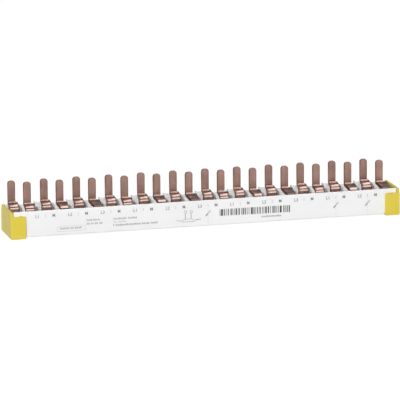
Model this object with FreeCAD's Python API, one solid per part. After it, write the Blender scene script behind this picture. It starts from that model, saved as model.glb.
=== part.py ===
import FreeCAD, Part
import math
import os

V = FreeCAD.Vector

# Comb busbar, twelve 18 mm modules, neutral and three phases.
# Millimetres. +X runs along the bar, left to right as the printed face is read.
# +Y points from the printed front face to the back. +Z is up, towards the tooth tips.
# Origin: middle of the length and of the depth, on the plane that the end caps rest on.

# ---- driving dimensions ----
module_pitch = 18.0          # width of one switchgear module
module_count = 12

housing_length = 213.8       # extruded profile
housing_depth = 22.8
housing_height = 13.9
front_wall = 1.0
rear_wall = 1.1
floor_thick = 1.2
partition_thick = 0.9
partition_top = 9.4          # above the profile's underside
rib_thick = 0.8              # lips that keep a bar upright in its channel
rib_low_top = 2.4
rib_high_low = 6.8
rib_gap = 0.1                # clearance from lip to bar face

merlon_top = 14.0            # rear wall between two pairs of teeth
cutout_top = 13.1            # rear wall behind a pair of teeth
notch_top = 12.7             # rear wall under a neutral tooth's run
merlon_from = 16.5           # within a module, from its left edge
merlon_to = 20.2
nib_width = 0.7              # small rib at the merlon's left end
nib_top = 14.5

copper_thick = 1.5
tooth_width = 4.2
tooth_tip = 26.4             # above the profile's underside
tip_radius = 1.6
run_top = 14.3               # top of the run that leads forward from a tooth
bend_in = 0.7                # inside radius at the foot of a tooth
bend_out = 3.0               # outside radius where the run turns down
edge_round = 0.3             # rounding of the stamped edges
bar_top = 8.6
bar_low = floor_thick
bar_end = 0.8                # from a bar's end to the profile's end

tooth_row_n = 22.5           # front faces of the two tooth rows, from the front face
tooth_row_l = 17.2
bar_front = {"n": 15.3, "l1": 9.9, "l2": 4.5, "l3": 1.2}
tooth_x_n = 4.43             # tooth centres within a module, from its left edge
tooth_x_l = 11.90

# beyond the tooth's edges: (left at the tooth, left at the stem, right at the tooth, right at the stem)
flare_n = (0.0, 0.94, 1.20, 0.50)
flare_l = (0.0, 0.52, 2.10, 0.35)
flare_taper = 7.5            # the wide part of a run narrows over this length, or as far as the run goes
shoulder_n = 14.95           # a neutral tooth widens below this height
shoulder_run = 0.9           # width of that slope
ear_back = 0.6               # the wide part of a run starts this far behind the tooth's face

cap_wall = 1.3               # end wall, closes the channels
cap_wall_top = 13.85
cap_flange_front = 1.05
cap_flange_rear = 1.0
cap_flange_top = 11.55
cap_floor = 0.8
cap_reach = 8.2              # length of a cap along the profile
cap_corner = 0.45
cap_gap_end = 0.45
cap_gap_side = 0.05

# ---- placing ----
# The section is drawn with y from the front face backwards and z from the underside.
# The overall box runs from the front flange to the back of the neutral teeth.
overall_front = -(cap_flange_front + cap_gap_side)
overall_back = tooth_row_n + copper_thick
mid_y = (overall_front + overall_back) / 2.0
shift = V(0, -mid_y, cap_floor)
half = housing_length / 2.0
cap_in = half + cap_gap_end
cap_out = cap_in + cap_wall
datum = -module_pitch * module_count / 2.0 + 0.6     # left edge of the first module


def box(x0, x1, y0, y1, z0, z1):
    return Part.makeBox(x1 - x0, y1 - y0, z1 - z0, V(x0, y0, z0))


def outline(points, radii):
    """Closed wire through the points, each corner rounded by its radius."""
    ends = []
    for i, p in enumerate(points):
        r = radii[i]
        if r <= 0:
            ends.append((p, None, p))
            continue
        u = (points[i - 1] - p).normalize()
        w = (points[(i + 1) % len(points)] - p).normalize()
        half_angle = u.getAngle(w) / 2.0
        t = r / math.tan(half_angle)
        centre = p + (u + w).normalize() * (r / math.sin(half_angle))
        middle = centre + (p - centre).normalize() * r
        ends.append((p + u * t, middle, p + w * t))
    edges = []
    for i, (start, middle, end) in enumerate(ends):
        if middle is not None:
            edges.append(Part.Arc(start, middle, end).toShape())
        nxt = ends[(i + 1) % len(ends)][0]
        if end.distanceToPoint(nxt) > 1e-6:
            edges.append(Part.LineSegment(end, nxt).toShape())
    return Part.Wire(edges)


def prism(points, radii, direction):
    return Part.Face(outline(points, radii)).extrude(direction)


def along_x(edge):
    a, b = edge.Vertexes[0].Point, edge.Vertexes[-1].Point
    return abs(a.y - b.y) < 1e-4 and abs(a.z - b.z) < 1e-4 and abs(a.x - b.x) > 5


def export(shape, name):
    shape = shape.copy()
    shape.translate(shift)
    shape.exportStep("parts/%s.step" % name)
    bb = shape.BoundBox
    print("%-14s solids %d valid %s volume %.1f  x %.2f %.2f  y %.2f %.2f  z %.2f %.2f" % (
        name, len(shape.Solids), shape.isValid(), shape.Volume,
        bb.XMin, bb.XMax, bb.YMin, bb.YMax, bb.ZMin, bb.ZMax))
    return shape


# ---- housing: one profile with four channels, its rear wall cut out for the teeth ----
def make_housing():
    inner_back = housing_depth - rear_wall
    solids = [box(-half, half, 0, housing_depth, 0, floor_thick),
              box(-half, half, 0, front_wall, 0, housing_height),
              box(-half, half, inner_back, housing_depth, 0, merlon_top)]
    # a partition stands midway between each two bars
    order = ["l3", "l2", "l1", "n"]
    walls = [(0.0, front_wall)]
    for a, b in zip(order, order[1:]):
        middle = (bar_front[a] + copper_thick + bar_front[b]) / 2.0
        lo, hi = middle - partition_thick / 2.0, middle + partition_thick / 2.0
        walls.append((lo, hi))
        solids.append(box(-half, half, lo, hi, 0, partition_top))
    walls.append((inner_back, housing_depth))
    # lips reach from the walls to each bar, low and high in its channel
    for i, name in enumerate(order):
        near = bar_front[name] - rib_gap
        far = bar_front[name] + copper_thick + rib_gap
        for z0, z1 in ((0.0, rib_low_top), (rib_high_low, rib_high_low + rib_thick)):
            if near - walls[i][1] > 0.3:
                solids.append(box(-half, half, walls[i][1] - 0.2, near, z0, z1))
            solids.append(box(-half, half, far, walls[i + 1][0] + 0.2, z0, z1))
    body = solids[0].multiFuse(solids[1:]).removeSplitter()
    # long edges: the underside's two corners and the lips of the two tall walls
    soft = [e for e in body.Edges if along_x(e)]
    low = [e for e in soft if abs(e.Vertexes[0].Z) < 1e-4 and
           (abs(e.Vertexes[0].Y) < 1e-4 or abs(e.Vertexes[0].Y - housing_depth) < 1e-4)]
    lips = [e for e in soft if abs(e.Vertexes[0].Z - housing_height) < 1e-4]
    body = body.makeFillet(0.4, low)
    lips = [e for e in body.Edges if along_x(e) and abs(e.Vertexes[0].Z - housing_height) < 1e-4]
    body = body.makeFillet(0.25, lips)
    # cut-outs of the rear wall, one behind each pair of teeth, deeper under the neutral run
    cuts = []
    y0, y1 = inner_back - 0.02, housing_depth + 1
    for k in range(module_count):
        x = datum + module_pitch * k
        start = x + merlon_to - module_pitch
        if k == 0:
            start = x + merlon_to - module_pitch
        end = x + merlon_from
        cuts.append(prism([V(start, y0, cutout_top), V(end, y0, cutout_top),
                           V(end, y0, merlon_top + 3), V(start, y0, merlon_top + 3)],
                          [0.3, 0.3, 0, 0], V(0, y1 - y0, 0)))
        n0 = x + tooth_x_n - tooth_width / 2 - flare_n[0] - 0.3
        n1 = x + tooth_x_n + tooth_width / 2 + flare_n[2] + 0.3
        cuts.append(prism([V(n0, y0, notch_top), V(n1, y0, notch_top),
                           V(n1, y0, merlon_top + 3), V(n0, y0, merlon_top + 3)],
                          [0.25, 0.25, 0, 0], V(0, y1 - y0, 0)))
    tool = cuts[0].multiFuse(cuts[1:])
    body = body.cut(tool)
    # a small rib on each merlon, at its left end
    nibs = []
    for k in range(module_count - 1):
        x = datum + module_pitch * k + merlon_from
        nibs.append(prism([V(x, inner_back, merlon_top - 0.5), V(x + nib_width + 0.25, inner_back, merlon_top - 0.5),
                           V(x + nib_width, inner_back, nib_top), V(x, inner_back, nib_top)],
                          [0, 0, 0.15, 0.15], V(0, rear_wall, 0)))
    body = body.multiFuse(nibs).removeSplitter()
    return body


# ---- combs: a flat bar on edge, with teeth folded back and up from its upper edge ----
def make_tooth(row, front, flare, shoulder):
    """One tooth with its run and stem, as a bent strip, centred on x = 0."""
    t = copper_thick
    h = tooth_width / 2
    root = bar_top - 2.0
    wide = h + max(flare) + 1
    # bent strip, seen from the side
    side = prism(
        [V(-wide, row, tooth_tip), V(-wide, row, run_top), V(-wide, front, run_top),
         V(-wide, front, root), V(-wide, front + t, root), V(-wide, front + t, run_top - t),
         V(-wide, row + t, run_top - t), V(-wide, row + t, tooth_tip)],
        [0, bend_in, bend_out, 0, 0, bend_out - t, bend_in + t, 0],
        V(2 * wide, 0, 0))
    # outline seen from the front: a slim tooth above a wider run
    right = h + flare[2]
    y0 = front - 5
    face = [(V(-wide, y0, root), 0), (V(-wide, y0, run_top - t / 2), 0), (V(-h, y0, run_top - t / 2), 0),
            (V(-h, y0, tooth_tip), tip_radius), (V(h, y0, tooth_tip), tip_radius), (V(h, y0, shoulder), 0)]
    if shoulder > run_top:
        face[-1] = (V(h, y0, shoulder), 0.3)
        face += [(V(h + shoulder_run, y0, run_top + 0.1), 0.2), (V(wide, y0, run_top + 0.1), 0)]
    else:
        face += [(V(wide, y0, shoulder), 0)]
    face += [(V(wide, y0, root), 0)]
    strip = side.common(prism([p for p, r in face], [r for p, r in face], V(0, row - front + 12, 0)))
    # outline seen from above: the run changes width from the tooth to the stem
    z0 = root - 1
    stem_y = front + 1.0
    back = row + ear_back
    taper = max(flare_taper, row - front - bend_out)
    plan = [V(-h, row + t + 1, z0), V(-h, row, z0), V(-h - flare[1], stem_y, z0), V(-h - flare[1], front - 1, z0),
            V(h + flare[3], front - 1, z0)]
    if row - taper > stem_y + 0.3:
        plan += [V(h + flare[3], row - taper, z0)]
    else:
        plan += [V(h + flare[3] + (flare[2] - flare[3]) * max(0.0, 1 - (row - stem_y) / taper), stem_y, z0)]
    if shoulder > run_top:
        plan += [V(right, row, z0), V(right, row + t + 1, z0)]
    else:
        plan += [V(right, row, z0), V(right, back, z0), V(h, back, z0), V(h, row + t + 1, z0)]
    keep = prism(plan, [0] * len(plan), V(0, 0, tooth_tip + 2 - z0))
    return strip.common(keep).removeSplitter()


def make_comb(name, slots):
    front = bar_front[name]
    is_n = name == "n"
    row = tooth_row_n if is_n else tooth_row_l
    offset = tooth_x_n if is_n else tooth_x_l
    strip = make_tooth(row, front, flare_n if is_n else flare_l, shoulder_n if is_n else run_top)
    bar = box(-half + bar_end, half - bar_end, front, front + copper_thick, bar_low, bar_top)
    bar = bar.makeFillet(edge_round, [e for e in bar.Edges if along_x(e)])
    teeth = []
    for k in slots:
        one = strip.copy()
        one.translate(V(datum + module_pitch * k + offset, 0, 0))
        teeth.append(one)
    return bar.multiFuse(teeth).removeSplitter()


# ---- end caps: a moulded tray that slips over the profile's end, with a taller end wall ----
def make_cap():
    """Right-hand cap."""
    x0 = cap_out - cap_reach
    y0 = -(cap_flange_front + cap_gap_side)
    y1 = housing_depth + cap_gap_side + cap_flange_rear
    body = box(x0, cap_out, y0, y1, -cap_floor, cap_flange_top)
    upright = [e for e in body.Edges if abs(e.Vertexes[0].Z - e.Vertexes[-1].Z) > 5 and e.Vertexes[0].X > cap_out - 0.01]
    body = body.makeFillet(cap_corner, upright)
    # upper corner of the flanges' free end
    corner = [e for e in body.Edges if all(abs(v.X - x0) < 0.01 and abs(v.Z - cap_flange_top) < 0.01 for v in e.Vertexes)]
    body = body.makeFillet(0.55, corner)
    rim = [e for e in body.Edges if max(v.Z for v in e.Vertexes) < -cap_floor + 0.01]
    body = body.makeFillet(0.35, rim)
    cavity = box(x0 - 1, cap_in, -cap_gap_side, housing_depth + cap_gap_side, 0, cap_flange_top + 1)
    body = body.cut(cavity)
    # end wall, flush with the profile's two faces above the flanges
    wall = box(cap_in, cap_out, 0, housing_depth, cap_flange_top - 2.0, cap_wall_top)
    upright = [e for e in wall.Edges if abs(e.Vertexes[0].Z - e.Vertexes[-1].Z) > 3 and e.Vertexes[0].X > cap_out - 0.01]
    wall = wall.makeFillet(0.3, upright)
    top = [e for e in wall.Edges if min(v.Z for v in e.Vertexes) > cap_wall_top - 0.01]
    wall = wall.makeFillet(0.2, top)
    return body.fuse(wall).removeSplitter()


os.makedirs("parts", exist_ok=True)
housing = export(make_housing(), "housing")
comb_n = export(make_comb("n", range(12)), "busbar_n")
comb_l1 = export(make_comb("l1", range(0, 12, 3)), "busbar_l1")
comb_l2 = export(make_comb("l2", range(1, 12, 3)), "busbar_l2")
comb_l3 = export(make_comb("l3", range(2, 12, 3)), "busbar_l3")
cap = make_cap()
export(cap, "right_end_cap")
export(cap.mirror(V(0, 0, 0), V(1, 0, 0)), "left_end_cap")
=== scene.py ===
import math
import bpy
import bmesh
from mathutils import Matrix, Vector


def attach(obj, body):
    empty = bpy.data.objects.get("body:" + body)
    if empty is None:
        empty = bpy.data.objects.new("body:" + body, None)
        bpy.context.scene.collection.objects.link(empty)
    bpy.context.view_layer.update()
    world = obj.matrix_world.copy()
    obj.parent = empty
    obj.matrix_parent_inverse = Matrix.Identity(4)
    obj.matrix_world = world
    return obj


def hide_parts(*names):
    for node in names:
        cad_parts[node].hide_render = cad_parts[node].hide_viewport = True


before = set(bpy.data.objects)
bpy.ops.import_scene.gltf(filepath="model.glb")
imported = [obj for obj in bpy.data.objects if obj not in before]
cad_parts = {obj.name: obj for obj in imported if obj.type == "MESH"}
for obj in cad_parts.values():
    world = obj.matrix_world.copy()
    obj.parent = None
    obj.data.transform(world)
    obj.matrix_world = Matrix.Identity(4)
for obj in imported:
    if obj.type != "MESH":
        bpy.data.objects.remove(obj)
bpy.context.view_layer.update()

MM = 0.001

# ---- dimensions of the part, in millimetres, in the CAD frame ----
MID_Y = 11.45          # the front face is at y = -MID_Y
DZ = 0.8               # the housing's underside is this far above the surface
DATUM = -107.4         # left edge of the first module
PITCH = 18.0
T = 1.5                # copper thickness
HALF_W = 2.1           # half of a tooth's width
TIP = 26.4 + DZ
TIP_R = 1.6
RUN_TOP = 14.3 + DZ
BEND_IN = 0.7
BEND_OUT = 3.0
BAR_TOP = 8.6 + DZ
BAR_LOW = 1.2 + DZ
BAR_HALF = 106.1
SHOULDER = 14.95 + DZ
SHOULDER_RUN = 0.9
ROW = {"n": 22.5 - MID_Y, "l": 17.2 - MID_Y}
FRONT = {"n": 15.3 - MID_Y, "l1": 9.9 - MID_Y, "l2": 4.5 - MID_Y, "l3": 1.2 - MID_Y}
X_IN_MODULE = {"n": 4.43, "l": 11.90}
# beyond the tooth's edges: left at the stem, right at the tooth, right at the stem
FLARE = {"n": (0.94, 1.20, 0.50), "l": (0.52, 2.10, 0.35)}
TAPER = 7.5
FACE_Y = -MID_Y


def hexa(r, g, b):
    """sRGB 0-255 to linear."""
    out = []
    for c in (r, g, b):
        c /= 255.0
        out.append(c / 12.92 if c <= 0.04045 else ((c + 0.055) / 1.055) ** 2.4)
    return (*out, 1.0)


# ---- materials ----
class Nodes:
    """Small helper to build node trees."""

    def __init__(self, name):
        self.mat = bpy.data.materials.new(name)
        self.mat.use_nodes = True
        self.t = self.mat.node_tree
        self.t.nodes.clear()
        self.out = self.t.nodes.new("ShaderNodeOutputMaterial")
        self.bsdf = self.t.nodes.new("ShaderNodeBsdfPrincipled")
        self.t.links.new(self.bsdf.outputs["BSDF"], self.out.inputs["Surface"])
        self.co = self.t.nodes.new("ShaderNodeTexCoord").outputs["Object"]

    def link(self, a, b):
        self.t.links.new(a, b)

    def node(self, kind, **values):
        n = self.t.nodes.new(kind)
        for k, v in values.items():
            setattr(n, k, v)
        return n

    def math(self, op, a, b=None, c=None, clamp=False):
        n = self.node("ShaderNodeMath", operation=op, use_clamp=clamp)
        for i, x in enumerate((a, b, c)):
            if x is None:
                continue
            if hasattr(x, "links"):
                self.link(x, n.inputs[i])
            else:
                n.inputs[i].default_value = x
        return n.outputs[0]

    def noise(self, scale, stretch=(1, 1, 1), detail=4.0, rough=0.55, offset=(0, 0, 0)):
        m = self.node("ShaderNodeMapping")
        m.inputs["Scale"].default_value = stretch
        m.inputs["Location"].default_value = offset
        self.link(self.co, m.inputs["Vector"])
        n = self.node("ShaderNodeTexNoise")
        n.inputs["Scale"].default_value = scale
        n.inputs["Detail"].default_value = detail
        n.inputs["Roughness"].default_value = rough
        self.link(m.outputs[0], n.inputs["Vector"])
        return n.outputs["Fac"]

    def ramp(self, fac, stops):
        n = self.node("ShaderNodeValToRGB")
        e = n.color_ramp.elements
        while len(e) > 1:
            e.remove(e[-1])
        e[0].position, e[0].color = stops[0]
        for pos, col in stops[1:]:
            x = e.new(pos)
            x.color = col
        self.link(fac, n.inputs["Fac"])
        return n.outputs["Color"]

    def range(self, x, a, b, c, d):
        n = self.node("ShaderNodeMapRange")
        self.link(x, n.inputs[0])
        for i, v in enumerate((a, b, c, d)):
            n.inputs[i + 1].default_value = v
        return n.outputs[0]

    def mix(self, fac, a, b, kind="MIX"):
        n = self.node("ShaderNodeMix", data_type="RGBA", blend_type=kind)
        if hasattr(fac, "links"):
            self.link(fac, n.inputs[0])
        else:
            n.inputs[0].default_value = fac
        for i, x in ((6, a), (7, b)):
            if hasattr(x, "links"):
                self.link(x, n.inputs[i])
            else:
                n.inputs[i].default_value = x
        return n.outputs[2]

    def attribute(self, name):
        n = self.node("ShaderNodeAttribute")
        n.attribute_type = "GEOMETRY"
        n.attribute_name = name
        return n.outputs["Fac"]

    def bump(self, height, strength, distance):
        n = self.node("ShaderNodeBump")
        n.inputs["Strength"].default_value = strength
        n.inputs["Distance"].default_value = distance
        self.link(height, n.inputs["Height"])
        self.link(n.outputs[0], self.bsdf.inputs["Normal"])


def copper_material():
    m = Nodes("copper")
    b = m.bsdf
    b.inputs["Metallic"].default_value = 1.0
    # rolling marks run along each tooth, broad tarnish lies over them
    streak = m.noise(1500.0, stretch=(1.0, 0.06, 0.035), detail=3.0, rough=0.6)
    broad = m.noise(150.0, detail=3.0)
    tone = m.math("ADD", m.math("MULTIPLY", streak, 0.55), m.math("MULTIPLY", broad, 0.45))
    colour = m.ramp(tone, [(0.32, (0.465, 0.280, 0.230, 1)), (0.50, (0.585, 0.360, 0.298, 1)), (0.70, (0.685, 0.432, 0.360, 1))])
    # sheared edges are duller and darker; the same mask also darkens the margins of the wide runs, the runs next to
    # the teeth and the foremost bends as painted shade
    cut_dull_painted_shade = m.attribute("cut_dull_painted_shade")
    torn = m.noise(2600.0, stretch=(1.0, 1.0, 1.0), detail=3.0)
    dull_and_shade_tint = m.ramp(torn, [(0.3, (0.32, 0.270, 0.240, 1)), (0.7, (0.50, 0.435, 0.405, 1))])
    colour = m.mix(cut_dull_painted_shade, colour, m.mix(1.0, colour, dull_and_shade_tint, "MULTIPLY"))
    # matched to the photo: the feet of the teeth are painted paler, a painted highlight, and the runs next to them
    # darker, painted shade
    colour = m.mix(1.0, colour, m.range(m.attribute("painted_light_shade"), -1.0, 1.0, 0.5, 1.5), "MULTIPLY")
    m.link(colour, b.inputs["Base Color"])
    rough = m.range(tone, 0.3, 0.7, 0.17, 0.10)
    rough = m.math("ADD", rough, m.math("MULTIPLY", cut_dull_painted_shade, 0.22))
    # the teeth and the stems are less burnished than the bends
    rough = m.math("ADD", rough, m.math("MULTIPLY", m.attribute("matte"), 0.30))
    m.link(rough, b.inputs["Roughness"])
    m.bump(streak, 0.22, 0.00003)
    return m.mat


def plastic_material(name, dark, light, rough=0.42, scale=700.0, inner=0.0):
    m = Nodes(name)
    b = m.bsdf
    fine = m.noise(scale * 6, detail=2.0)
    broad = m.noise(45.0, stretch=(0.35, 1, 1), detail=3.0)
    colour = m.ramp(broad, [(0.3, dark), (0.7, light)])
    m.link(colour, b.inputs["Base Color"])
    m.link(m.range(fine, 0.3, 0.7, rough - 0.05, rough + 0.07), b.inputs["Roughness"])
    b.inputs["IOR"].default_value = 1.48
    b.inputs["Subsurface Weight"].default_value = inner
    b.inputs["Subsurface Radius"].default_value = (1.0, 1.0, 1.0)
    b.inputs["Subsurface Scale"].default_value = 0.0009
    grain = m.noise(scale * 3, detail=3.0)
    m.bump(grain, 0.18, 0.00003)
    return m.mat


def ink_material(name, shade):
    m = Nodes(name)
    b = m.bsdf
    n = m.noise(2500.0, detail=2.0)
    m.link(m.ramp(n, [(0.3, (shade * 0.85, shade * 0.85, shade * 0.87, 1)), (0.7, (shade * 1.15, shade * 1.15, shade * 1.17, 1))]), b.inputs["Base Color"])
    b.inputs["Roughness"].default_value = 0.6
    return m.mat


MAT = {
    "copper": copper_material(),
    "white": plastic_material("white_profile", (0.80, 0.80, 0.80, 1), (0.84, 0.84, 0.84, 1), inner=0.35),
    "yellow": plastic_material("yellow_cap", hexa(211, 189, 60), hexa(218, 198, 72), rough=0.36),
    "ink_dark": ink_material("ink_dark", 0.04),
    "ink_mid": ink_material("ink_mid", 0.14),
    "ink_light": ink_material("ink_light", 0.34),
    "ink_faint": ink_material("ink_faint", 0.55),
}


def add_mesh(name, verts, faces, mats, smooth=False):
    me = bpy.data.meshes.new(name)
    me.from_pydata([tuple(c * MM for c in v) for v in verts], [], faces)
    me.update()
    ob = bpy.data.objects.new(name, me)
    bpy.context.scene.collection.objects.link(ob)
    for m in mats:
        me.materials.append(m)
    if smooth:
        for p in me.polygons:
            p.use_smooth = True
    return ob


# ---- combs ----
EDGE = 0.30            # rounding of the stamped edges
RING = 24              # points round a section


def path_of(front, row):
    """Middle line of a bent tooth from its tip to its root: (y, z, dy, dz, length)."""
    t2 = T / 2
    pts = []

    def straight(a, b, n):
        for i in range(n):
            f = i / n
            pts.append((a[0] + (b[0] - a[0]) * f, a[1] + (b[1] - a[1]) * f))

    def arc(cy, cz, r, a0, a1, n):
        for i in range(n):
            a = math.radians(a0 + (a1 - a0) * i / n)
            pts.append((cy + r * math.cos(a), cz + r * math.sin(a)))

    y_tooth = row + t2
    z_run = RUN_TOP - t2
    y_stem = front + t2
    r1 = BEND_IN + t2
    r2 = BEND_OUT - t2
    for d in (0.0, 0.02, 0.06, 0.12, 0.2, 0.32, 0.5, 0.75, 1.0, 1.3, 1.6):
        pts.append((y_tooth, TIP - d))
    straight((y_tooth, TIP - 2.2), (y_tooth, z_run + r1), 9)
    arc(y_tooth - r1, z_run + r1, r1, 0, -90, 14)
    straight((y_tooth - r1, z_run), (y_stem + r2, z_run), max(3, int((y_tooth - r1 - y_stem - r2) / 0.6)))
    arc(y_stem + r2, z_run - r2, r2, 90, 180, 20)
    straight((y_stem, z_run - r2), (y_stem, BAR_TOP - 1.0), 4)
    pts.append((y_stem, BAR_TOP - 1.0))
    out = []
    length = 0.0
    for i, (y, z) in enumerate(pts):
        a = pts[max(0, i - 1)]
        b = pts[min(len(pts) - 1, i + 1)]
        d = math.hypot(b[0] - a[0], b[1] - a[1])
        if i:
            length += math.hypot(y - pts[i - 1][0], z - pts[i - 1][1])
        out.append((y, z, (b[0] - a[0]) / d, (b[1] - a[1]) / d, length))
    return out


def clamp01(f):
    return min(1.0, max(0.0, f))


def smoothstep(a, b, x):
    f = clamp01((x - a) / (b - a))
    return f * f * (3 - 2 * f)


def tooth_mesh(x, pole, verts, faces, cut_dull_painted_shades, mattes, painted_light_shades):
    is_n = pole == "n"
    row = ROW["n" if is_n else "l"]
    front = FRONT[pole]
    left_stem, right_tooth, right_stem = FLARE["n" if is_n else "l"]
    base = len(verts)
    sections = path_of(front, row)
    for y, z, dy, dz, s in sections:
        left = right = HALF_W
        if s < TIP_R:
            c = TIP_R - math.sqrt(max(0.0, TIP_R * TIP_R - (TIP_R - s) ** 2))
            left = right = HALF_W - c
        forward = max(0.0, row - y)
        if y < row:
            left += left_stem * clamp01(forward / (row - front - 1.0))
        ear = right_stem + (right_tooth - right_stem) * clamp01(1 - forward / max(TAPER, row - front - BEND_OUT))
        if is_n:
            if z < SHOULDER:
                right += min(SHOULDER_RUN * (SHOULDER - z) / (SHOULDER - RUN_TOP - 0.1), ear)
        else:
            right += ear * math.sqrt(clamp01((RUN_TOP - 0.02 - z) / 0.6))
        thick, edge = T / 2, EDGE
        if s < EDGE:
            shrink = EDGE - math.sqrt(max(0.0, EDGE * EDGE - (EDGE - s) ** 2))
            thick = T / 2 - shrink * 0.9
            edge = max(0.05, EDGE - shrink * 0.5)
        e = min(edge, thick * 0.9, left * 0.9)
        # how dull the sides and the margins of this section are: the sheared edges are duller, and painted shade
        # darkens them more round the bend and less down the stem
        low = smoothstep(RUN_TOP + 1.3, RUN_TOP + 0.1, z) * (1 - 0.75 * smoothstep(RUN_TOP - 0.8, RUN_TOP - 3.0, z))
        side = 0.45 + 0.55 * low
        rim = 0.25 + 0.75 * low
        # painted shade: the run next to each tooth is darkened, and the foremost bends all over
        run_painted_shade = 1.0 * smoothstep(row - 6.5, row - 4.5, y) if s > 8 and y < row + T / 2 - BEND_IN - 0.4 and y > front + BEND_OUT - 0.3 else 0.0
        if pole == "l3":
            run_painted_shade = max(run_painted_shade, smoothstep(front + 5.2, front + 3.4, y))
        if s < 1.2:
            side = rim = max(rim, 0.55 * (1 - s / 1.2))
        ny, nz = dz, -dy
        matte = max(smoothstep(RUN_TOP + 0.7, RUN_TOP + 1.4, z), smoothstep(RUN_TOP - 2.2, RUN_TOP - 3.2, z))

        # painted highlight: the lower teeth and their feet are painted paler; painted shade: the runs are painted
        # darker
        painted_light_shade = (0.85 if is_n else 0.5) * smoothstep(TIP - 3.0, RUN_TOP + 2.0, z)
        painted_light_shade = max(painted_light_shade, smoothstep(RUN_TOP + 1.4, RUN_TOP + 0.5, z)) * smoothstep(row - 0.5, row + 0.0, y)
        if y > front + BEND_OUT - 0.3:
            painted_light_shade -= 0.9 * run_painted_shade
        elif pole == "l3":
            painted_light_shade -= 0.6 * run_painted_shade

        def put(px, pn, c):
            verts.append((x + px, y + ny * pn, z + nz * pn))
            cut_dull_painted_shades.append(c)
            mattes.append(matte)
            painted_light_shades.append(painted_light_shade)

        def corner(cx, cn, a0, face_end):
            for k in range(4):
                a = math.radians(a0 + 30 * k)
                put(cx + e * math.cos(a), cn + e * math.sin(a), rim if k == face_end else side)

        def outer(v, sign):
            inner = v - e
            return sign * min(inner * 0.97, HALF_W + 0.12), sign * min(inner * 0.86, HALF_W - 0.22)

        r2_, r1_ = outer(right, 1)
        l2_, l1_ = outer(left, -1)
        # at the tip the flat faces are duller; on the runs they carry the painted shade
        tip_dull_and_run_shade = 0.45 * (1 - s / 0.5) if s < 0.5 else run_painted_shade
        corner(right - e, thick - e, 0, 3)
        put(r2_, thick, rim)
        put(r1_, thick, tip_dull_and_run_shade)
        put(l1_, thick, tip_dull_and_run_shade)
        put(l2_, thick, rim)
        corner(-left + e, thick - e, 90, 0)
        corner(-left + e, -thick + e, 180, 3)
        put(l2_, -thick, rim)
        put(l1_, -thick, tip_dull_and_run_shade)
        put(r1_, -thick, tip_dull_and_run_shade)
        put(r2_, -thick, rim)
        corner(right - e, -thick + e, 270, 0)
    count = len(sections)
    for i in range(count - 1):
        for j in range(RING):
            a = base + i * RING + j
            b = base + i * RING + (j + 1) % RING
            faces.append((a, b, b + RING, a + RING))
    faces.append(tuple(base + j for j in reversed(range(RING))))
    last = base + (count - 1) * RING
    faces.append(tuple(last + j for j in range(RING)))


def bar_mesh(pole, verts, faces, cut_dull_painted_shades, mattes, painted_light_shades):
    y0, y1 = FRONT[pole], FRONT[pole] + T
    e = EDGE
    base = len(verts)
    xs = [-BAR_HALF, -BAR_HALF + 0.05, -BAR_HALF + 0.15, -BAR_HALF + e]
    xs = xs + [-x for x in reversed(xs)]
    ring_n = 16
    for i, x in enumerate(xs):
        d = BAR_HALF - abs(x)
        s = e - math.sqrt(max(0.0, e * e - (e - d) ** 2)) if d < e else 0.0
        for cy, cz, a0 in ((y1 - e, BAR_TOP - e, 0), (y0 + e, BAR_TOP - e, 90), (y0 + e, BAR_LOW + e, 180), (y1 - e, BAR_LOW + e, 270)):
            for k in range(4):
                a = math.radians(a0 + 30 * k)
                verts.append((x, cy + (e - s) * math.cos(a), cz + (e - s) * math.sin(a)))
                cut_dull_painted_shades.append(0.8 if abs(math.sin(a)) > 0.6 or i in (0, len(xs) - 1) else 0.15)
                mattes.append(1.0)
                painted_light_shades.append(0.0)
    for i in range(len(xs) - 1):
        for j in range(ring_n):
            a = base + i * ring_n + j
            b = base + i * ring_n + (j + 1) % ring_n
            faces.append((a, b, b + ring_n, a + ring_n))
    faces.append(tuple(base + j for j in reversed(range(ring_n))))
    last = base + (len(xs) - 1) * ring_n
    faces.append(tuple(last + j for j in range(ring_n)))


def comb(pole, slots):
    verts, faces, cut_dull_painted_shades, mattes, painted_light_shades = [], [], [], [], []
    bar_mesh(pole, verts, faces, cut_dull_painted_shades, mattes, painted_light_shades)
    for k in slots:
        tooth_mesh(DATUM + PITCH * k + X_IN_MODULE["n" if pole == "n" else "l"], pole, verts, faces, cut_dull_painted_shades, mattes, painted_light_shades)
    ob = add_mesh("comb_" + pole, verts, faces, [MAT["copper"]], smooth=True)
    for name, values in (("cut_dull_painted_shade", cut_dull_painted_shades), ("matte", mattes), ("painted_light_shade", painted_light_shades)):
        ob.data.attributes.new(name, "FLOAT", "POINT").data.foreach_set("value", values)
    bm = bmesh.new()
    bm.from_mesh(ob.data)
    bmesh.ops.recalc_face_normals(bm, faces=bm.faces)
    bm.to_mesh(ob.data)
    bm.free()
    ob.data.set_sharp_from_angle(angle=math.radians(50))
    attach(ob, "root")
    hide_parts("busbar_" + pole)
    return ob


comb("n", range(12))
comb("l1", range(0, 12, 3))
comb("l2", range(1, 12, 3))
comb("l3", range(2, 12, 3))

# ---- housing and caps keep their CAD shape ----
for node, mat in (("housing", "white"), ("left_end_cap", "yellow"), ("right_end_cap", "yellow")):
    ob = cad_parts[node]
    ob.data.materials.clear()
    ob.data.materials.append(MAT[mat])

# ---- print on the front face ----
PRINT_Y = FACE_Y - 0.03
prints = {"ink_dark": ([], []), "ink_mid": ([], []), "ink_light": ([], []), "ink_faint": ([], [])}


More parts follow.
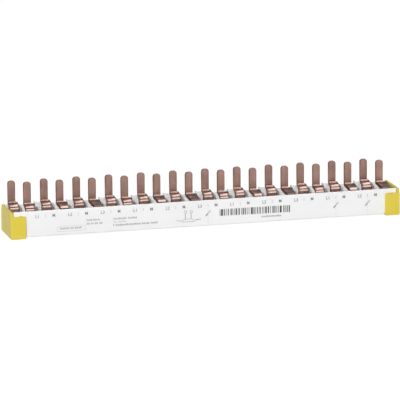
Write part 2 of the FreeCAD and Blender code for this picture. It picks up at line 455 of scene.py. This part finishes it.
def flat(ink, pts):
    """A filled polygon on the front face, slightly proud; points are (x, z) in mm from the first module's left edge and the underside."""
    verts, faces = prints[ink]
    n = len(pts)
    base = len(verts)
    for x, z in pts:
        verts.append((DATUM + x, PRINT_Y, DZ + z))
    for x, z in pts:
        verts.append((DATUM + x, FACE_Y + 0.01, DZ + z))
    faces.append(tuple(base + i for i in range(n)))
    faces.append(tuple(base + n + i for i in reversed(range(n))))
    for i in range(n):
        j = (i + 1) % n
        faces.append((base + i, base + n + i, base + n + j, base + j))


def rect(ink, x0, z0, x1, z1):
    flat(ink, [(x0, z0), (x1, z0), (x1, z1), (x0, z1)])


def stroke(ink, a, b, w):
    dx, dz = b[0] - a[0], b[1] - a[1]
    d = math.hypot(dx, dz)
    px, pz = -dz / d * w / 2, dx / d * w / 2
    flat(ink, [(a[0] - px, a[1] - pz), (b[0] - px, b[1] - pz), (b[0] + px, b[1] + pz), (a[0] + px, a[1] + pz)])


def loop(ink, pts, w):
    for i, a in enumerate(pts):
        stroke(ink, a, pts[(i + 1) % len(pts)], w)


def circle(ink, x, z, r, w):
    loop(ink, [(x + r * math.cos(math.tau * i / 16), z + r * math.sin(math.tau * i / 16)) for i in range(16)], w)


def greeked(ink, x0, x1, z, height, words):
    """A line of unreadable small print: short blocks with gaps, one per word."""
    total = sum(words) + 0.45 * (len(words) - 1)
    unit = (x1 - x0) / total
    x = x0
    for n in words:
        end = x + n * unit
        step = 0.62
        k = 0
        while x + 0.40 <= end + 0.01:
            tall = height * (1.0, 0.72, 0.85, 0.72, 0.95)[k % 5]
            rect(ink, x, z, x + 0.40, z + tall)
            x += step
            k += 1
        x = end + 0.45 * unit


def label(text, x, z, size, ink, bold=0.0):
    cu = bpy.data.curves.new("label", "FONT")
    cu.body = text
    cu.size = size * MM
    cu.align_x = "CENTER"
    cu.align_y = "CENTER"
    cu.offset = bold * MM
    cu.extrude = 0.00002
    cu.resolution_u = 3
    ob = bpy.data.objects.new("label", cu)
    bpy.context.scene.collection.objects.link(ob)
    dg = bpy.context.evaluated_depsgraph_get()
    me = bpy.data.meshes.new_from_object(ob.evaluated_get(dg))
    rot = Matrix.Rotation(math.radians(90), 4, "X")
    me.transform(Matrix.Translation(Vector(((DATUM + x) * MM, (FACE_Y - 0.015) * MM, (DZ + z) * MM))) @ rot)
    verts, faces = prints[ink]
    base = len(verts)
    for v in me.vertices:
        verts.append(tuple(c / MM for c in v.co))
    for p in me.polygons:
        faces.append(tuple(base + i for i in p.vertices))
    bpy.data.objects.remove(ob)
    bpy.data.curves.remove(cu)
    bpy.data.meshes.remove(me)


LABEL_Z = 10.95
for i in range(24):
    x = 4.5 + 9.0 * i
    if i % 2 == 0:
        label("N", x, LABEL_Z, 1.85, "ink_mid", bold=0.13)
    else:
        label("L%d" % ((i // 2) % 3 + 1), x, LABEL_Z - 0.1, 2.35, "ink_light", bold=0.05)
# a thin tick between two modules
for k in range(1, 12):
    rect("ink_light", 18.0 * k - 0.08, 10.1, 18.0 * k + 0.08, 11.8)

# rating box and lines of small print
box_pts = [(24.9, 4.65), (39.3, 4.65), (39.95, 4.2), (39.95, 2.35), (39.3, 1.9), (24.9, 1.9), (24.25, 2.35), (24.25, 4.2)]
loop("ink_faint", box_pts, 0.16)
greeked("ink_light", 26.0, 38.0, 3.0, 1.05, (3, 2, 2, 4))
greeked("ink_light", 40.6, 48.2, 6.75, 1.0, (4, 3, 2))
greeked("ink_light", 40.6, 49.8, 4.75, 1.1, (3, 2, 3, 3))
greeked("ink_light", 55.4, 68.7, 6.55, 0.95, (6, 4))
greeked("ink_faint", 55.4, 62.6, 4.85, 0.95, (2, 4))
greeked("ink_light", 55.2, 79.9, 3.05, 1.0, (1, 8, 7, 5, 4))

# two terminals on a line
for x in (95.3, 98.5):
    circle("ink_light", x + 0.1, 8.2, 0.72, 0.22)
    stroke("ink_mid", (x, 7.4), (x, 4.2), 0.24)
stroke("ink_light", (90.4, 3.95), (92.8, 3.2), 0.26)
stroke("ink_light", (92.8, 3.2), (95.3, 4.15), 0.2)
stroke("ink_light", (93.4, 2.75), (100.6, 2.7), 0.24)
stroke("ink_light", (95.3, 4.15), (98.5, 4.15), 0.2)
stroke("ink_light", (98.5, 4.15), (100.9, 3.3), 0.2)
stroke("ink_mid", (100.9, 3.4), (103.0, 3.75), 0.28)
stroke("ink_light", (103.5, 3.0), (103.5, 4.6), 0.22)

# where the bar may be cut: a dashed line across the face and a blade
for x in (108.0, 180.0, 198.0):
    z = 0.9
    while z < 9.0:
        rect("ink_faint", x - 0.08, z, x + 0.08, z + 0.9)
        z += 1.5
    flat("ink_light", [(x - 1.65, 5.25), (x - 1.0, 5.05), (x + 0.1, 6.25), (x - 0.55, 6.85)])
    flat("ink_faint", [(x - 0.45, 6.9), (x + 0.1, 6.35), (x + 1.7, 7.95), (x + 1.2, 8.55)])

# a plain group of bars of a made-up rhythm, and a short grey line under it
x = 114.5
for i in range(34):
    wide = (0.34, 0.62, 0.34, 0.98, 0.34, 0.62, 0.62)[(i * 3) % 7]
    gap = (0.42, 0.72, 0.5, 0.94, 0.58)[(i * 2) % 5]
    if x + wide > 155.1:
        break
    rect("ink_dark" if wide > 0.6 and i % 2 else "ink_mid", x, 4.85 - 0.0085 * (x - 114.5), x + wide, 8.5 - 0.004 * (x - 114.5))
    x += wide + gap
greeked("ink_light", 138.0, 149.2, 2.5, 0.95, (13,))

for ink, (verts, faces) in prints.items():
    if not verts:
        continue
    ob = add_mesh("print_" + ink, verts, faces, [MAT[ink]])
    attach(ob, "root")

# ---- stage ----
world = bpy.data.worlds.new("studio")
bpy.context.scene.world = world
world.use_nodes = True
wt = world.node_tree
wt.nodes.clear()


def wnode(kind, **values):
    n = wt.nodes.new(kind)
    for k, v in values.items():
        setattr(n, k, v)
    return n


def wmath(op, a, b):
    n = wnode("ShaderNodeMath", operation=op)
    for i, x in enumerate((a, b)):
        if hasattr(x, "links"):
            wt.links.new(x, n.inputs[i])
        else:
            n.inputs[i].default_value = x
    return n.outputs[0]


def wstep(x, a, b):
    n = wnode("ShaderNodeMapRange", interpolation_type="SMOOTHSTEP")
    wt.links.new(x, n.inputs[0])
    n.inputs[1].default_value, n.inputs[2].default_value = a, b
    n.inputs[3].default_value, n.inputs[4].default_value = 0.0, 1.0
    return n.outputs[0]


wout = wnode("ShaderNodeOutputWorld")
bg_seen = wnode("ShaderNodeBackground")
bg_seen.inputs[0].default_value = (1, 1, 1, 1)
bg_seen.inputs[1].default_value = 1.0
bg_lit = wnode("ShaderNodeBackground")
bg_lit.inputs[0].default_value = (1, 1, 1, 1)
# the studio is dim low behind the part and between the two upper lights
sep = wnode("ShaderNodeSeparateXYZ")
wt.links.new(wnode("ShaderNodeTexCoord").outputs["Generated"], sep.inputs[0])
behind = wmath("MULTIPLY", wstep(sep.outputs[1], 0.0, 0.5), wstep(sep.outputs[2], 0.62, 0.50))
gap_up = wmath("MULTIPLY", wstep(sep.outputs[2], 0.70, 0.80), wstep(sep.outputs[1], 0.05, -0.05))
dim = wmath("MULTIPLY", wmath("SUBTRACT", 1.0, wmath("MULTIPLY", behind, 0.30)), wmath("SUBTRACT", 1.0, wmath("MULTIPLY", gap_up, 0.92)))
lp = wnode("ShaderNodeLightPath")
seen_in = wmath("MULTIPLY", wmath("MULTIPLY", dim, 0.30), lp.outputs["Is Glossy Ray"])
falls_on = wmath("MULTIPLY", 0.52, wmath("SUBTRACT", 1.0, lp.outputs["Is Glossy Ray"]))
wt.links.new(wmath("ADD", seen_in, falls_on), bg_lit.inputs[1])
wm = wnode("ShaderNodeMixShader")
wt.links.new(lp.outputs["Is Camera Ray"], wm.inputs[0])
wt.links.new(bg_lit.outputs[0], wm.inputs[1])
wt.links.new(bg_seen.outputs[0], wm.inputs[2])
wt.links.new(wm.outputs[0], wout.inputs["Surface"])

me = bpy.data.meshes.new("floor")
me.from_pydata([(-6, -6, -3e-5), (6, -6, -3e-5), (6, 6, -3e-5), (-6, 6, -3e-5)], [], [(0, 1, 2, 3)])
floor = bpy.data.objects.new("floor", me)
bpy.context.scene.collection.objects.link(floor)
fm = bpy.data.materials.new("floor")
fm.use_nodes = True
ft = fm.node_tree
fb = ft.nodes["Principled BSDF"]
fb.inputs["Base Color"].default_value = (0.22, 0.22, 0.22, 1)
fb.inputs["Roughness"].default_value = 0.9
fb.inputs["Specular IOR Level"].default_value = 0.0
fb.inputs["Emission Color"].default_value = (1, 1, 1, 1)
flp = ft.nodes.new("ShaderNodeLightPath")
glow = ft.nodes.new("ShaderNodeMapRange")
glow.inputs[3].default_value = 0.28      # what the floor gives the plastic
glow.inputs[4].default_value = 0.85      # as the camera sees it
ft.links.new(flp.outputs["Is Camera Ray"], glow.inputs[0])
gloss = ft.nodes.new("ShaderNodeMath")
gloss.operation = "MULTIPLY_ADD"
gloss.inputs[1].default_value = 0.27     # more in the copper's reflections
ft.links.new(flp.outputs["Is Glossy Ray"], gloss.inputs[0])
ft.links.new(glow.outputs[0], gloss.inputs[2])
ft.links.new(gloss.outputs[0], fb.inputs["Emission Strength"])
me.materials.append(fm)


def softbox(name, centre, w, h, radiance, colour=(1, 1, 1), far=2.2):
    """An area light that faces the part; moved far times out with its angular size kept."""
    d = bpy.data.lights.new(name, "AREA")
    d.shape = "RECTANGLE"
    d.size, d.size_y = w * far, h * far
    d.energy = radiance * math.pi * d.size * d.size_y
    d.color = colour
    ob = bpy.data.objects.new(name, d)
    bpy.context.scene.collection.objects.link(ob)
    ob.location = Vector(centre) * far
    ob.rotation_euler = (-Vector(centre)).to_track_quat("-Z", "Y").to_euler()
    ob.visible_camera = False
    return ob


# two broad panels that only the reflections show
for panel in (softbox("overhead", (0.25, 0.42, 1.0), 1.7, 1.26, 1.60, (0.84, 1.0, 1.07)),
              softbox("front", (0.34, -0.88, 0.76), 1.5, 0.66, 1.40, (0.84, 1.0, 1.07))):
    panel.visible_diffuse = False
# a firm light from the left front shapes the plastic and is left out of the copper's reflections
key = softbox("left", (-0.60, -1.0, 0.66), 0.20, 0.20, 112.0)
key.visible_glossy = False

# ---- camera ----
yaw, pitch, roll = 0.256217, 0.217068, -0.007364
fw = Vector((math.sin(yaw) * math.cos(pitch), math.cos(yaw) * math.cos(pitch), -math.sin(pitch)))
r = Vector((math.cos(yaw), -math.sin(yaw), 0.0))
u = r.cross(fw)
r2 = r * math.cos(roll) + u * math.sin(roll)
u2 = u * math.cos(roll) - r * math.sin(roll)
cam_data = bpy.data.cameras.new("camera")
cam = bpy.data.objects.new("camera", cam_data)
bpy.context.scene.collection.objects.link(cam)
cam_data.sensor_fit = "HORIZONTAL"
cam_data.sensor_width = 36.0
cam_data.lens = 36.0 * 4570.736 / 400.0
cam_data.clip_start = 0.1
cam_data.clip_end = 60.0
pos = Vector((-507.242462 + DATUM, -2331.382929 - MID_Y, 545.855474 + DZ)) * MM
m = Matrix.Identity(4)
for row_i in range(3):
    m[row_i][0], m[row_i][1], m[row_i][2], m[row_i][3] = r2[row_i], u2[row_i], -fw[row_i], pos[row_i]
cam.matrix_world = m
bpy.context.scene.camera = cam

bpy.context.scene.view_settings.view_transform = "Standard"
bpy.context.scene.view_settings.look = "None"
